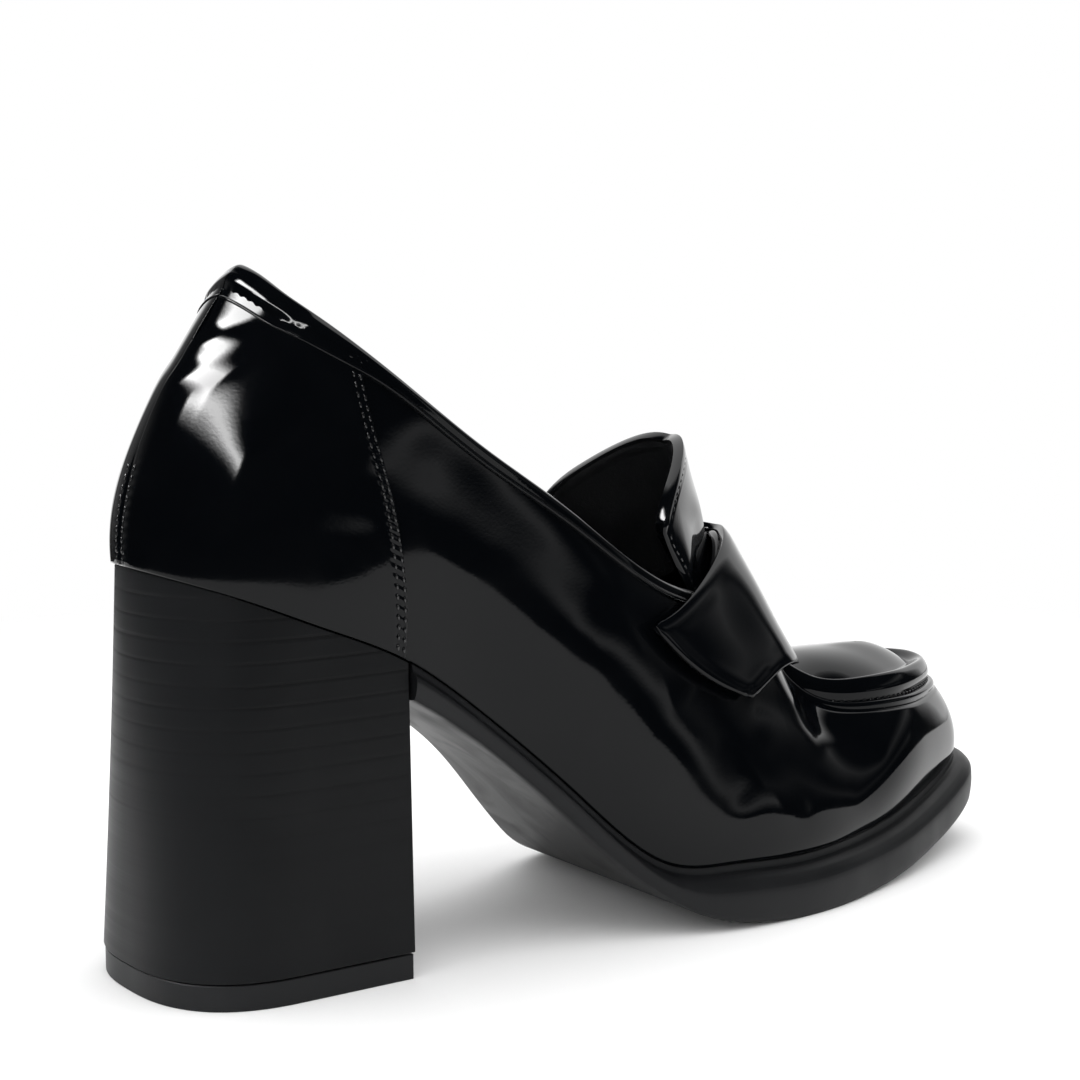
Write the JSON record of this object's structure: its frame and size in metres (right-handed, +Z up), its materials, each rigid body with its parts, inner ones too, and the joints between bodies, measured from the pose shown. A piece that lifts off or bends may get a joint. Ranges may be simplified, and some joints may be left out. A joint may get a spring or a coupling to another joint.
{
  "type": "women's high-heeled loafer pump",
  "caption": "Right loafer pump on a high block heel, with a hollow leather upper, moccasin apron, saddle strap, standing tongue and thin ledged sole.",
  "frame": {"origin": "middle of the bounding box in plan, on the floor", "axes": "+X to the toe, -Y to the outer side of a right foot, +Z up"},
  "size_m": [0.2442, 0.0904, 0.154],
  "materials": {
    "patent_leather": "glossy patent",
    "lining": "matte",
    "sole_rubber": "matte",
    "stacked_heel": "satin"
  },
  "bodies": {
    "root": {"upper": "patent_leather", "saddle_strap": "patent_leather", "tongue": "patent_leather", "insole": "lining", "outsole": "sole_rubber", "heel": "stacked_heel", "top_lift": "sole_rubber"}
  },
  "joints": []
}
